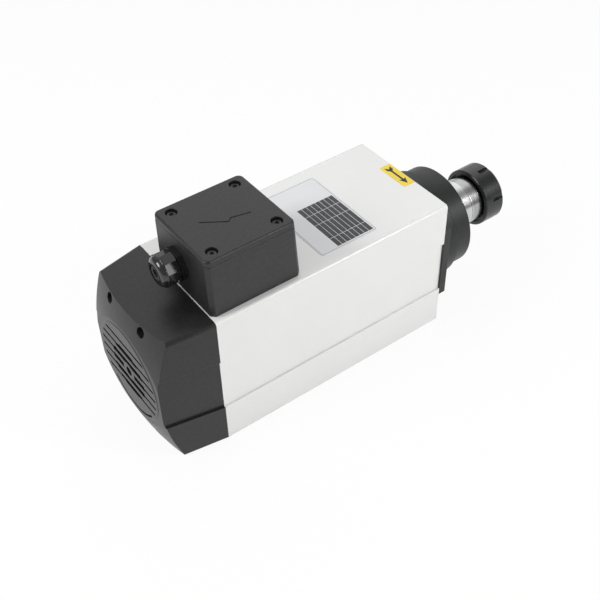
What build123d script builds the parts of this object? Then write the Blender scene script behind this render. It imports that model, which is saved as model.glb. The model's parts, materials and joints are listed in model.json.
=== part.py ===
from build123d import *
import os
from math import cos, pi, radians, sin, sqrt, tan

# Air cooled motor spindle: square extruded housing, collet nose, domed fan cover and terminal box.
# Millimetres. +X runs along the shaft to the nose and +Z is up.
# The origin is the middle of the bottom mounting face.

# Extruded housing
body_length = 206.5
body_width = 104.0
body_height = 121.0
axis_height = body_height / 2
body_edge_round = 3.0
side_recess_depth = 1.6
side_recess_low = axis_height - 24.5
side_recess_high = axis_height + 22.7
side_wall = 8.0
bore_top_wall = 16.5
housing_bore_radius = min(body_width / 2 - side_wall, body_height / 2 - bore_top_wall)
bore_wall = 5.0
motor_scale = housing_bore_radius / 44.0
channel_wall = 4.0
channel_floor = 16.0
channel_web = 3.0
channel_side_block = 26.0
port_boss_radius = 4.5

# T slots for mounting bolts in the bottom face
t_slot_offset = body_width / 2 - 16.0
t_slot_neck = 8.4
t_slot_lip = 4.5
t_slot_head_width = 19.6
t_slot_head_height = 7.5

# Screw ports
tapped_depth = 20.0
flange_port_y = body_width / 2 - 6.0
flange_port_z = 21.5
shield_port_offset = (housing_bore_radius + 11.0) / sqrt(2)
cover_port_y = 21.4
cover_port_inset = 7.2

# Fasteners by thread size: thread, clearance hole and head radius, head height, hexagon socket size
m4_radius = 2.0
m4_clearance_radius = 2.25
m4_head_radius = 3.5
m4_head_height = 4.0
m4_socket = 3.0
m5_radius = 2.5
m5_clearance_radius = 2.75
m5_head_radius = 4.25
m5_head_height = 5.0
m5_socket = 4.0
countersunk_radius = 4.7
countersunk_socket = 3.0
thread_gap = 0.05
flange_screw_length = 20.0
cap_screw_length = 22.0
shield_screw_length = 24.0
cover_screw_length = 18.0
fan_screw_length = 13.0
fan_screw_head = 2.8
lid_screw_length = 14.0
base_screw_length = 12.0

# Stator and rotor
stator_start = 58.0
stator_length = 95.0
stator_gap = 0.05
slot_count = 24
slot_inner_radius = 28.4 * motor_scale
slot_depth = 9.6 * motor_scale
slot_width = 3.7 * motor_scale
slot_opening = 1.8
winding_gap = 0.2
winding_overhang = 17.0
winding_inner_radius = 29.0 * motor_scale
winding_outer_radius = 40.5 * motor_scale
rotor_radius = 26.0 * motor_scale
air_gap = 0.5
rotor_bar_count = 28
rotor_bar_radius = 1.5 * motor_scale
rotor_bar_circle = 22.8 * motor_scale
rotor_ring_length = 7.0
fit_gap = 0.02

# Front bearing housing, spacers and nose cap
flange_thickness = 6.3
flange_low = axis_height - 30.8
flange_high = axis_height + 35.5
flange_disc_radius = body_width / 2 - 2.0
boss_radius = body_width / 2 - 6.6
boss_length = 16.95
boss_edge = 1.0
spigot_length = 18.5
spigot_lip = 3.0
cap_radius = boss_radius - 2.8
cap_length = 17.55
cap_edge = 1.2
cap_screw_count = 6
cap_screw_hole_depth = 14.0
cap_screw_start = 30.0
cap_pilot = 5.0
nose_gap = 0.6
slinger_thickness = 5.0
slinger_gap = 1.0

# Bearings
front_bore_radius = 17.5 * motor_scale
front_outer_radius = 31.0 * motor_scale
front_width = 14.0
front_ball_radius = 4.4 * motor_scale
front_ball_count = 11
front_spacer = 6.0
rear_bore_radius = 12.5 * motor_scale
rear_outer_radius = 23.5 * motor_scale
rear_width = 12.0
slinger_radius = front_outer_radius
rear_ball_radius = 3.6 * motor_scale
rear_ball_count = 11
race_gap = 0.04
cage_gap = 0.25
spacer_wall = 4.5
lock_nut_width = 7.0
lock_nut_radius = 25.5 * motor_scale

# Shaft
rotor_seat_radius = 17.0 * motor_scale
nose_radius = 20.5
nose_length = 24.5
nose_groove_width = 1.6
nose_groove_depth = 0.7
nose_edge = 0.6
thread_seat_radius = 20.0
thread_seat_length = 20.7
fan_seat_radius = 8.0
fan_screw_hole_depth = 14.0
drill_radius = 7.0
drill_depth = 18.0
drill_point = 4.0

# Collet and nut
collet_length = 40.0
collet_rim_radius = 16.5
collet_bore_radius = 6.0
collet_taper = 8.0
collet_face_angle = 30.0
collet_face_length = 5.0
collet_rim_length = 1.2
collet_groove_length = 2.5
collet_groove_radius = 14.5
collet_slit_count = 8
collet_slit = 1.0
collet_slit_length = 32.0
collet_gap = 0.05
nut_radius = 25.0
nut_length = 20.5
nut_bevel = 2.2
nut_rear_recess = 2.5
nut_rear_recess_radius = 21.8
nut_notch_count = 6
nut_notch_width = 5.0
nut_notch_depth = 2.6
nut_notch_length = 12.5
nut_notch_start = 38.5
nut_setback = 0.5

# Rear bearing shield, preload springs and fan
shield_thickness = 10.0
shield_radius = housing_bore_radius + 1.0
shield_lug_radius = 6.6
shield_spigot = 8.0
shield_lip = 2.0
shield_spring_lip = 5.0
spring_thickness = 1.1
spring_cone = 0.35
fan_clearance_to_shield = 7.0
fan_length = 16.0
fan_hub_radius = 13.0 * motor_scale
fan_radius = 39.0 * motor_scale
fan_plate = 2.0
fan_blade_count = 9
fan_blade_thickness = 1.8
fan_blade_lag = 14.0
circlip_thickness = 1.2

# Domed fan cover
cover_length = 45.9
cover_wall = 2.8
cover_top_taper = 2.8
cover_side_taper = 7.1
cover_bottom_taper = 0.7
cover_recess_rise = 2.3
dome_apex = 51.4
dome_crown_radius = 201.0
dome_side_drop = 11.6
grille_radius = 37.3 * motor_scale
grille_pad_radius = 40.2 * motor_scale
grille_pad_edge = 1.3
grille_pad_rise = 0.5
grille_pitch = 8.9 * motor_scale
grille_slot = 2.3
grille_wide_slot = 5.0
grille_wide_radius = 22.0 * motor_scale
grille_top_row = 3
grille_bottom_row = -2
grille_arc_radius = 36.4 * motor_scale
grille_arc_width = 1.8
grille_arc_sweep = 88.0
grille_hub_radius = 7.4
grille_hub_hole = 3.8
screw_tube_radius = 6.0
screw_tube_hole = 3.9
slot_wall_edge = 2.0
screw_tube_floor = 6.0

# Terminal box
box_rear = 0.4
box_front_top = 71.4
box_front_foot = 74.2
box_near_top = 6.1 - body_width / 2
box_near_foot = box_near_top - 0.8
box_far_top = box_near_top + 67.3
box_far_foot = box_far_top + 1.0
box_corner_cut = 3.1
lid_corner_round = 4.5
box_wall = 3.0
box_floor = 3.0
box_lift = 1.2
lid_seam_height = 43.4
lid_thickness = 4.9
lid_edge_round = 1.6
lid_gap = 0.3
lid_screw_pitch_x = 51.2
lid_screw_pitch_y = 50.4
lid_boss_radius = 5.4
lid_boss_depth = 20.0
lid_screw_head = 2.2
lid_gasket_width = 1.2
lid_gasket_depth = 1.2
lid_counterbore_radius = 4.3
lid_counterbore_depth = 3.9
lid_groove_width = 1.0
lid_groove_depth = 0.5
lid_groove_points = [(19.7, -7.9), (35.8, -19.0), (39.1, -16.3), (52.7, -19.5)]
cable_hole_radius = 8.0
cable_hole_setback = 22.0
base_screw_pitch_x = 35.8
base_screw_pitch_y = 33.2
base_gasket_inset = 0.5

# Terminal block inside the box
block_length = 42.0
block_width = 17.0
block_height = 9.0
block_rib = 2.0
block_rib_height = 6.0
stud_pitch_x = 13.0
stud_pitch_y = 9.0
stud_height = 13.0
terminal_nut_hexagon = 7.0
terminal_nut_height = 3.0
terminal_nut_lift = 2.4
lead_radius = 1.6
lead_pitch = 4.4
lead_bend = 6.0

# Cable gland
gland_y = -8.5
gland_height = 24.0
gland_thread_radius = 8.0
gland_hexagon = 22.0
gland_hexagon_length = 4.2
gland_neck_length = 10.0
gland_neck_radius = 8.4
gland_bore_radius = 6.6
gland_cap_radius = 12.3
gland_cap_length = 14.0
gland_cap_gap = 0.4
gland_cap_mouth = 6.2
gland_dome = 3.6
gland_cap_sides = 10
gland_cap_rim = 0.9
gland_cap_step = 0.2
gland_dome_radius = 11.5
gland_seal_bore = 3.1

# Labels on the housing
label_front = 147.4
label_rear = 96.8
label_near = 11.0 - body_width / 2
label_far = body_width / 2 - 13.4
label_thickness = 0.25
arrow_front = 206.1
arrow_rear = 195.8
arrow_near = -14.6
arrow_far = 15.4

# Places along the shaft, worked out from the sizes above
rear_x = -body_length / 2
front_x = body_length / 2
flange_front = front_x + flange_thickness
boss_front = flange_front + boss_length
cap_front = boss_front + cap_length
nose_step = cap_front + nose_length
shaft_front = nose_step + thread_seat_length
cap_screw_circle = (slinger_radius + slinger_gap + cap_radius) / 2
front_shoulder_radius = (front_bore_radius + front_outer_radius) / 2 - 0.5 * front_ball_radius - 0.05
stator_rear_x = rear_x + stator_start
stator_front_x = stator_rear_x + stator_length
front_bearing_front = boss_front - 1.7
front_bearing_rear = front_bearing_front - front_width
second_bearing_front = front_bearing_rear - front_spacer
second_bearing_rear = second_bearing_front - front_width
spigot_rear = front_x - spigot_length
rear_shield_rear = rear_x - shield_thickness
rear_seat_floor = rear_shield_rear + shield_lip
spring_stack = 2 * (spring_thickness + spring_cone)
rear_bearing_rear = rear_seat_floor + spring_stack + 0.1
rear_bearing_front = rear_bearing_rear + rear_width
fan_front = rear_shield_rear - fan_clearance_to_shield
fan_rear = fan_front - fan_length
cover_rear = rear_x - cover_length
nut_front = shaft_front + 10.0
nut_rear = nut_front - nut_length
collet_front = nut_front - nut_setback
collet_rear = collet_front - collet_length
collet_rim_front = collet_front - collet_face_length
collet_rim_rear = collet_rim_front - collet_rim_length
collet_groove_rear = collet_rim_rear - collet_groove_length
collet_face_radius = collet_rim_radius - collet_face_length * tan(radians(collet_face_angle))
box_rear_x = rear_x + box_rear
box_middle_x = rear_x + (box_rear + box_front_top) / 2
box_middle_y = (box_near_top + box_far_top) / 2
cable_hole_x = box_middle_x - cable_hole_setback
block_x = box_middle_x + 9.5
base_screw_places = [
    (box_middle_x + sx * base_screw_pitch_x / 2, box_middle_y + sy * base_screw_pitch_y / 2)
    for sx in (-1, 1)
    for sy in (-1, 1)
]
lid_screw_places = [
    (box_middle_x + sx * lid_screw_pitch_x / 2, box_middle_y + sy * lid_screw_pitch_y / 2)
    for sx in (-1, 1)
    for sy in (-1, 1)
]
box_foot_z = body_height + box_lift
lid_seam_z = body_height + lid_seam_height
gland_z = body_height + gland_height

shaft_axis = Axis((0, 0, axis_height), (1, 0, 0))
axial_plane = Plane(origin=(0, 0, axis_height), x_dir=(1, 0, 0), z_dir=(0, -1, 0))
gland_axis = Axis((0, gland_y, gland_z), (-1, 0, 0))
gland_plane = Plane(origin=(0, gland_y, gland_z), x_dir=(1, 0, 0), z_dir=(0, -1, 0))

os.makedirs("parts", exist_ok=True)


def across(x):
    """The plane square to the shaft at x, centred on the shaft axis, local x along Y and local y up."""
    return Plane(origin=(x, 0, axis_height), x_dir=(0, 1, 0), z_dir=(1, 0, 0))


def toward_rear(x, y, z):
    """A plane at x that faces the rear."""
    return Plane(origin=(x, y, z), x_dir=(0, -1, 0), z_dir=(-1, 0, 0))


def toward_front(x, y, z):
    """A plane at x that faces the nose."""
    return Plane(origin=(x, y, z), x_dir=(0, 1, 0), z_dir=(1, 0, 0))


def turned_section(points, plane=axial_plane):
    """The half section of a turned piece: pairs of x and radius."""
    with BuildSketch(plane) as section:
        with BuildLine():
            Polyline(*points, close=True)
        make_face()
    return section.sketch


def socket_screw(seat, radius, length, head_radius, head_height, socket):
    """A hexagon socket head cap screw: its head stands on the seat plane and its shank goes below it."""
    with BuildPart() as screw:
        with BuildSketch(seat):
            Circle(head_radius)
        extrude(amount=head_height)
        chamfer(screw.edges().group_by(Axis((0, 0, 0), seat.z_dir))[-1], 0.35)
        with BuildSketch(seat):
            Circle(radius)
        extrude(amount=-length)
        with BuildSketch(seat.offset(head_height)):
            RegularPolygon(socket / 2, 6, major_radius=False)
        extrude(amount=-0.55 * head_height, mode=Mode.SUBTRACT)
    return screw.part


def write_piece(piece, name):
    """Labels a piece and writes it as one node."""
    piece.label = name
    export_step(piece, f"parts/{name}.step")


flange_ports = [(sy * flange_port_y, sz * flange_port_z) for sy in (-1, 1) for sz in (-1, 1)]
shield_ports = [(sy * shield_port_offset, sz * shield_port_offset) for sy in (-1, 1) for sz in (-1, 1)]
cover_port_z = body_height / 2 - cover_port_inset
cover_ports = [(sy * cover_port_y, sz * cover_port_z) for sy in (-1, 1) for sz in (-1, 1)]
side_recess_middle = (side_recess_low + side_recess_high) / 2 - axis_height

# Motor housing: an extrusion with a stator bore, webbed air channels, T slots and tapped ports
with BuildPart() as motor_housing:
    with BuildSketch(across(rear_x)):
        RectangleRounded(body_width, body_height, body_edge_round)
        with Locations((-body_width / 2, side_recess_middle), (body_width / 2, side_recess_middle)):
            Rectangle(2 * side_recess_depth, side_recess_high - side_recess_low, mode=Mode.SUBTRACT)
        Circle(housing_bore_radius, mode=Mode.SUBTRACT)
        for side in (-1, 1):
            with Locations((side * t_slot_offset, t_slot_lip + t_slot_head_height / 2 - axis_height)):
                Rectangle(t_slot_head_width, t_slot_head_height, mode=Mode.SUBTRACT)
            with Locations((side * t_slot_offset, t_slot_lip / 2 - axis_height)):
                Rectangle(t_slot_neck, t_slot_lip, mode=Mode.SUBTRACT)
    extrude(amount=body_length)
    with BuildSketch(across(rear_x)):
        channel_half = body_width / 2 - side_recess_depth - channel_wall
        channel_top = body_height - channel_wall
        with Locations((0, (channel_top + channel_floor) / 2 - axis_height)):
            Rectangle(2 * channel_half, channel_top - channel_floor)
        Circle(housing_bore_radius + bore_wall, mode=Mode.SUBTRACT)
        Rectangle(body_width, 2 * channel_side_block, mode=Mode.SUBTRACT)
        Rectangle(channel_web, 2 * body_height, mode=Mode.SUBTRACT)
        Rectangle(channel_web, 2 * body_height, rotation=45, mode=Mode.SUBTRACT)
        Rectangle(channel_web, 2 * body_height, rotation=-45, mode=Mode.SUBTRACT)
        with Locations(*shield_ports, *cover_ports):
            Circle(port_boss_radius, mode=Mode.SUBTRACT)
    extrude(amount=body_length, mode=Mode.SUBTRACT)
    with BuildSketch(across(front_x)):
        with Locations(*flange_ports):
            Circle(m5_radius + thread_gap)
    extrude(amount=-tapped_depth, mode=Mode.SUBTRACT)
    with BuildSketch(across(rear_x)):
        with Locations(*shield_ports):
            Circle(m5_radius + thread_gap)
        with Locations(*cover_ports):
            Circle(m4_radius + thread_gap)
    extrude(amount=tapped_depth, mode=Mode.SUBTRACT)
    with BuildSketch(Plane.XY.offset(body_height)):
        with Locations((cable_hole_x, box_middle_y)):
            Circle(cable_hole_radius)
    extrude(amount=axis_height + 0.6 * housing_bore_radius - body_height, mode=Mode.SUBTRACT)
    with BuildSketch(Plane.XY.offset(body_height)):
        with Locations(*base_screw_places):
            Circle(m4_radius + thread_gap)
    extrude(amount=-channel_wall, mode=Mode.SUBTRACT)
write_piece(motor_housing.part, "motor_housing")

# Stator core: a laminated stack with open slots
slot_middle = slot_inner_radius + slot_depth / 2
stator_radius = housing_bore_radius - stator_gap
stator_bore = rotor_radius + air_gap
with BuildPart() as stator_core:
    with BuildSketch(across(stator_rear_x)):
        Circle(stator_radius)
        Circle(stator_bore, mode=Mode.SUBTRACT)
        with PolarLocations(slot_middle, slot_count):
            Rectangle(slot_depth, slot_width, mode=Mode.SUBTRACT)
        with PolarLocations((stator_bore + slot_inner_radius) / 2, slot_count):
            Rectangle(2 * (slot_inner_radius - stator_bore), slot_opening, mode=Mode.SUBTRACT)
    extrude(amount=stator_length)
write_piece(stator_core.part, "stator_core")

# Stator windings: rounded end turns joined by the copper in each slot
with BuildPart() as stator_windings:
    with BuildSketch(axial_plane):
        winding_width = winding_overhang - 1.0
        winding_middle = (winding_inner_radius + winding_outer_radius) / 2
        for x in (stator_rear_x - 1.0 - winding_width / 2, stator_front_x + 1.0 + winding_width / 2):
            with Locations((x, winding_middle)):
                RectangleRounded(winding_width, winding_outer_radius - winding_inner_radius, 4.0)
    revolve(axis=shaft_axis)
    with BuildSketch(across(stator_rear_x - winding_overhang / 2)):
        with PolarLocations(slot_middle + winding_gap, slot_count):
            Rectangle(slot_depth - 3 * winding_gap, slot_width - 2 * winding_gap)
    extrude(amount=stator_length + winding_overhang)
write_piece(stator_windings.part, "stator_windings")

# Rotor core and its cast cage of bars and end rings
with BuildPart() as rotor_core:
    with BuildSketch(across(stator_rear_x)):
        Circle(rotor_radius)
        Circle(rotor_seat_radius + fit_gap, mode=Mode.SUBTRACT)
        with PolarLocations(rotor_bar_circle, rotor_bar_count):
            Circle(rotor_bar_radius, mode=Mode.SUBTRACT)
    extrude(amount=stator_length)
write_piece(rotor_core.part, "rotor_core")

with BuildPart() as rotor_cage:
    for ring_x in (stator_rear_x - rotor_ring_length, stator_front_x):
        with BuildSketch(across(ring_x)):
            Circle(rotor_radius - 0.6)
            Circle(rotor_seat_radius + 2.0, mode=Mode.SUBTRACT)
        extrude(amount=rotor_ring_length)
    with BuildSketch(across(stator_rear_x - rotor_ring_length)):
        with PolarLocations(rotor_bar_circle, rotor_bar_count):
            Circle(rotor_bar_radius - fit_gap)
    extrude(amount=stator_length + 2 * rotor_ring_length)
write_piece(rotor_cage.part, "rotor_cage")

# Shaft: fan seat, rear bearing seat, rotor seat, front bearing seats, nose with thread seat and collet taper
taper_rise = tan(radians(collet_taper))
collet_tail_radius = collet_rim_radius - (collet_groove_rear - collet_rear) * taper_rise
taper_mouth = collet_rim_radius - (collet_groove_rear - shaft_front) * taper_rise + collet_gap
taper_end = collet_rear - 3.0
taper_end_radius = taper_mouth - (shaft_front - taper_end) * taper_rise
circlip_rear = rear_bearing_rear - circlip_thickness
with BuildPart() as shaft:
    shaft_points = [
        (fan_rear - 1.0, 0),
        (fan_rear - 1.0, fan_seat_radius),
        (fan_front + 0.5, fan_seat_radius),
        (fan_front + 0.5, rear_bore_radius - 0.4),
        (circlip_rear - 1.0, rear_bore_radius - 0.4),
        (circlip_rear - 1.0, rear_bore_radius - fit_gap),
        (circlip_rear - 0.05, rear_bore_radius - fit_gap),
        (circlip_rear - 0.05, rear_bore_radius - 1.0),
        (rear_bearing_rear, rear_bore_radius - 1.0),
        (rear_bearing_rear, rear_bore_radius - fit_gap),
        (rear_bearing_front, rear_bore_radius - fit_gap),
        (rear_bearing_front, rear_bore_radius + 3.0),
        (stator_rear_x - rotor_ring_length - 6.0, rear_bore_radius + 3.0),
        (stator_rear_x - rotor_ring_length - 6.0, rotor_seat_radius),
        (second_bearing_rear - lock_nut_width - 1.0, rotor_seat_radius),
        (second_bearing_rear - lock_nut_width - 1.0, front_bore_radius - fit_gap),
        (front_bearing_front, front_bore_radius - fit_gap),
        (front_bearing_front, front_shoulder_radius),
        (boss_front + 1.0, front_shoulder_radius),
        (boss_front + 1.0, nose_radius),
        (nose_step - nose_groove_width - nose_edge, nose_radius),
        (nose_step - nose_groove_width, nose_radius - nose_edge),
        (nose_step - nose_groove_width, nose_radius - nose_groove_depth),
        (nose_step, nose_radius - nose_groove_depth),
        (nose_step, thread_seat_radius),
        (shaft_front - 0.6, thread_seat_radius),
        (shaft_front, thread_seat_radius - 0.6),
        (shaft_front, taper_mouth),
        (taper_end, taper_end_radius),
        (taper_end, drill_radius),
        (taper_end - drill_depth, drill_radius),
        (taper_end - drill_depth - drill_point, 0),
    ]
    revolve(turned_section(shaft_points), axis=shaft_axis)
    with BuildSketch(across(fan_rear - 1.0)):
        Circle(m5_radius + thread_gap)
    extrude(amount=fan_screw_hole_depth, mode=Mode.SUBTRACT)
    with BuildSketch(Plane.XY.offset(axis_height + fan_seat_radius - 1.5)):
        with Locations(((fan_rear + fan_front) / 2, 0)):
            SlotOverall(fan_length - 4.0, 3.0)
    extrude(amount=3.0, mode=Mode.SUBTRACT)
write_piece(shaft.part, "shaft")


# Angular contact bearings: grooved rings, a pocketed cage and separate balls
def bearing_rings(x, width, bore, outer, ball_radius):
    """Inner ring and outer ring of a bearing whose rear face is at x."""
    pitch = (bore + outer) / 2
    groove = Location((x + width / 2, 0, axis_height + pitch))
    shoulder = 0.5 * ball_radius
    rings = []
    for low, high in ((bore, pitch - shoulder), (pitch + shoulder, outer)):
        with BuildPart() as ring:
            with BuildSketch(across(x)):
                Circle(high)
                Circle(low, mode=Mode.SUBTRACT)
            extrude(amount=width)
            with BuildSketch(Plane(origin=groove.position, x_dir=(1, 0, 0), z_dir=(0, -1, 0))):
                Circle(ball_radius + race_gap)
            revolve(axis=shaft_axis, mode=Mode.SUBTRACT)
            fitted = bore if low == bore else outer
            rims = [e for e in ring.edges().filter_by(GeomType.CIRCLE) if abs(e.radius - fitted) < 0.01]
            chamfer(rims, 0.6)
        rings.append(ring.part)
    return rings


def bearing_cage(x, width, bore, outer, ball_radius, count):
    """The ball cage: a thin ring with a round pocket for each ball."""
    pitch = (bore + outer) / 2
    with BuildPart() as cage:
        with BuildSketch(across(x + 0.12 * width)):
            Circle(pitch + 0.32 * ball_radius)
            Circle(pitch - 0.32 * ball_radius, mode=Mode.SUBTRACT)
        extrude(amount=0.76 * width)
        for turn in range(count):
            angle = 2 * pi * turn / count
            centre = (x + width / 2, pitch * cos(angle), axis_height + pitch * sin(angle))
            with Locations(centre):
                Sphere(ball_radius + cage_gap, mode=Mode.SUBTRACT)
    return cage.part


def bearing_balls(x, width, bore, outer, ball_radius, count):
    """The balls, each one a separate solid."""
    pitch = (bore + outer) / 2
    with BuildPart() as balls:
        for turn in range(count):
            angle = 2 * pi * turn / count
            with Locations((x + width / 2, pitch * cos(angle), axis_height + pitch * sin(angle))):
                Sphere(ball_radius)
    return balls.part


front_sizes = (front_width, front_bore_radius, front_outer_radius, front_ball_radius)
rear_sizes = (rear_width, rear_bore_radius, rear_outer_radius, rear_ball_radius)
bearings = [
    ("front_bearing", front_bearing_rear, front_sizes, front_ball_count),
    ("second_bearing", second_bearing_rear, front_sizes, front_ball_count),
    ("rear_bearing", rear_bearing_rear, rear_sizes, rear_ball_count),
]
for bearing_name, bearing_x, bearing_sizes, ball_count in bearings:
    inner_ring, outer_ring = bearing_rings(bearing_x, *bearing_sizes)
    write_piece(inner_ring, f"{bearing_name}_inner_ring")
    write_piece(outer_ring, f"{bearing_name}_outer_ring")
    write_piece(bearing_cage(bearing_x, *bearing_sizes, ball_count), f"{bearing_name}_cage")
    write_piece(bearing_balls(bearing_x, *bearing_sizes, ball_count), f"{bearing_name}_balls")

# Spacer rings between the front bearings
with BuildPart() as inner_spacer:
    with BuildSketch(across(second_bearing_front)):
        Circle(front_bore_radius + spacer_wall)
        Circle(front_bore_radius + fit_gap, mode=Mode.SUBTRACT)
    extrude(amount=front_spacer)
write_piece(inner_spacer.part, "inner_spacer_ring")

with BuildPart() as outer_spacer:
    with BuildSketch(across(second_bearing_front)):
        Circle(front_outer_radius)
        Circle(front_outer_radius - spacer_wall, mode=Mode.SUBTRACT)
    extrude(amount=front_spacer)
write_piece(outer_spacer.part, "outer_spacer_ring")

# Lock nut that clamps the front inner rings against the shaft shoulder
with BuildPart() as bearing_lock_nut:
    with BuildSketch(across(second_bearing_rear - lock_nut_width)):
        Circle(lock_nut_radius)
        Circle(front_bore_radius + fit_gap, mode=Mode.SUBTRACT)
        with PolarLocations(lock_nut_radius, 4):
            Rectangle(4.0, 5.0, mode=Mode.SUBTRACT)
    extrude(amount=lock_nut_width - 0.1)
write_piece(bearing_lock_nut.part, "bearing_lock_nut")


def countersink(y, z, gap):
    """The half section of a flush screw's conical seat in the flange's front face."""
    wide = countersunk_radius + gap
    narrow = m5_radius + gap
    plane = Plane(origin=(flange_front, y, axis_height + z), x_dir=(1, 0, 0), z_dir=(0, -1, 0))
    return turned_section([(0, 0), (0, wide), (narrow - wide, narrow), (narrow - wide, 0)], plane)


# Front bearing housing: flange plate with side lugs, round boss, spigot and bearing seat
seat_radius = front_outer_radius + fit_gap
with BuildPart() as front_bearing_housing:
    with BuildSketch(across(front_x)):
        Circle(flange_disc_radius)
        with Locations((0, (flange_low + flange_high) / 2 - axis_height)):
            Rectangle(body_width, flange_high - flange_low)
    extrude(amount=flange_thickness)
    with BuildSketch(across(flange_front)):
        Circle(boss_radius)
    extrude(amount=boss_length)
    chamfer(front_bearing_housing.faces().sort_by(Axis.X)[-1].edges(), boss_edge)
    with BuildSketch(across(front_x)):
        Circle(housing_bore_radius - stator_gap)
    extrude(amount=-spigot_length)
    with BuildSketch(across(second_bearing_rear)):
        Circle(seat_radius)
    extrude(amount=boss_front - second_bearing_rear, mode=Mode.SUBTRACT)
    with BuildSketch(across(spigot_rear)):
        Circle(front_outer_radius - spigot_lip)
    extrude(amount=second_bearing_rear - spigot_rear, mode=Mode.SUBTRACT)
    with BuildSketch(across(flange_front)):
        with Locations(*flange_ports):
            Circle(m5_clearance_radius)
    extrude(amount=-flange_thickness, mode=Mode.SUBTRACT)
    for y, z in flange_ports:
        cone_axis = Axis((0, y, axis_height + z), (1, 0, 0))
        revolve(countersink(y, z, 0.05), axis=cone_axis, mode=Mode.SUBTRACT)
    with BuildSketch(across(boss_front)):
        with PolarLocations(cap_screw_circle, cap_screw_count, start_angle=cap_screw_start):
            Circle(m4_radius + thread_gap)
    extrude(amount=-cap_screw_hole_depth, mode=Mode.SUBTRACT)
write_piece(front_bearing_housing.part, "front_bearing_housing")

# Nose cap over the front bearing, with the slinger pocket and counterbored screw holes
slinger_rear = boss_front + 1.0
pocket_front = slinger_rear + slinger_thickness + slinger_gap
with BuildPart() as nose_cap:
    cap_points = [
        (front_bearing_front, front_outer_radius - cap_pilot),
        (front_bearing_front, front_outer_radius - 0.05),
        (boss_front, front_outer_radius - 0.05),
        (boss_front, cap_radius),
        (cap_front - cap_edge, cap_radius),
        (cap_front, cap_radius - cap_edge),
        (cap_front, nose_radius + nose_gap),
        (pocket_front, nose_radius + nose_gap),
        (pocket_front, slinger_radius + slinger_gap),
        (slinger_rear - 0.5, slinger_radius + slinger_gap),
        (slinger_rear - 0.5, front_outer_radius - cap_pilot),
    ]
    revolve(turned_section(cap_points), axis=shaft_axis)
    with BuildSketch(across(cap_front)):
        with PolarLocations(cap_screw_circle, cap_screw_count, start_angle=cap_screw_start):
            Circle(m4_clearance_radius)
    extrude(amount=-cap_length, mode=Mode.SUBTRACT)
    with BuildSketch(across(cap_front)):
        with PolarLocations(cap_screw_circle, cap_screw_count, start_angle=cap_screw_start):
            Circle(m4_head_radius + 0.3)
    extrude(amount=-m4_head_height - 0.4, mode=Mode.SUBTRACT)
write_piece(nose_cap.part, "nose_cap")

# Slinger ring that turns with the shaft behind the nose cap's lip
with BuildPart() as slinger_ring:
    with BuildSketch(across(slinger_rear)):
        Circle(slinger_radius)
        Circle(nose_radius + fit_gap, mode=Mode.SUBTRACT)
    extrude(amount=slinger_thickness)
    with BuildSketch(across(slinger_rear + slinger_thickness)):
        Circle(slinger_radius - 2.5)
        Circle(slinger_radius - 5.0, mode=Mode.SUBTRACT)
    extrude(amount=-2.0, mode=Mode.SUBTRACT)
write_piece(slinger_ring.part, "slinger_ring")

# Nose cap screws and flange screws
cap_seat = cap_front - m4_head_height - 0.4
with BuildPart() as cap_screws:
    for turn in range(cap_screw_count):
        angle = radians(cap_screw_start + 360 * turn / cap_screw_count)
        y = cap_screw_circle * cos(angle)
        z = axis_height + cap_screw_circle * sin(angle)
        seat = toward_front(cap_seat, y, z)
        add(socket_screw(seat, m4_radius, cap_screw_length, m4_head_radius, m4_head_height, m4_socket))
write_piece(cap_screws.part, "nose_cap_screws")

with BuildPart() as flange_screws:
    for y, z in flange_ports:
        seat = toward_front(flange_front, y, axis_height + z)
        revolve(countersink(y, z, 0), axis=Axis((0, y, axis_height + z), (1, 0, 0)))
        with BuildSketch(seat):
            Circle(m5_radius)
        extrude(amount=-flange_screw_length)
        with BuildSketch(seat):
            RegularPolygon(countersunk_socket / 2, 6, major_radius=False)
        extrude(amount=-1.6, mode=Mode.SUBTRACT)
write_piece(flange_screws.part, "flange_screws")

# Collet: taper, extraction groove, face cone, bore and slits from both ends
with BuildPart() as collet:
    collet_points = [
        (collet_rear, collet_bore_radius),
        (collet_rear, collet_tail_radius),
        (collet_groove_rear, collet_rim_radius),
        (collet_groove_rear, collet_groove_radius),
        (collet_rim_rear, collet_groove_radius),
        (collet_rim_rear, collet_rim_radius),
        (collet_rim_front, collet_rim_radius),
        (collet_front, collet_face_radius),
        (collet_front, collet_bore_radius),
    ]
    revolve(turned_section(collet_points), axis=shaft_axis)
    slit_start = collet_bore_radius / 2
    slit_reach = collet_rim_radius + 2.0
    half_pitch = 180 / collet_slit_count
    slits = ((collet_front, -collet_slit_length, 0), (collet_rear, collet_slit_length, half_pitch))
    for slit_x, slit_length, slit_turn in slits:
        with BuildSketch(across(slit_x)):
            with PolarLocations((slit_start + slit_reach) / 2, collet_slit_count, start_angle=slit_turn):
                Rectangle(slit_reach - slit_start, collet_slit)
        extrude(amount=slit_length, mode=Mode.SUBTRACT)
write_piece(collet.part, "collet")

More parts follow.
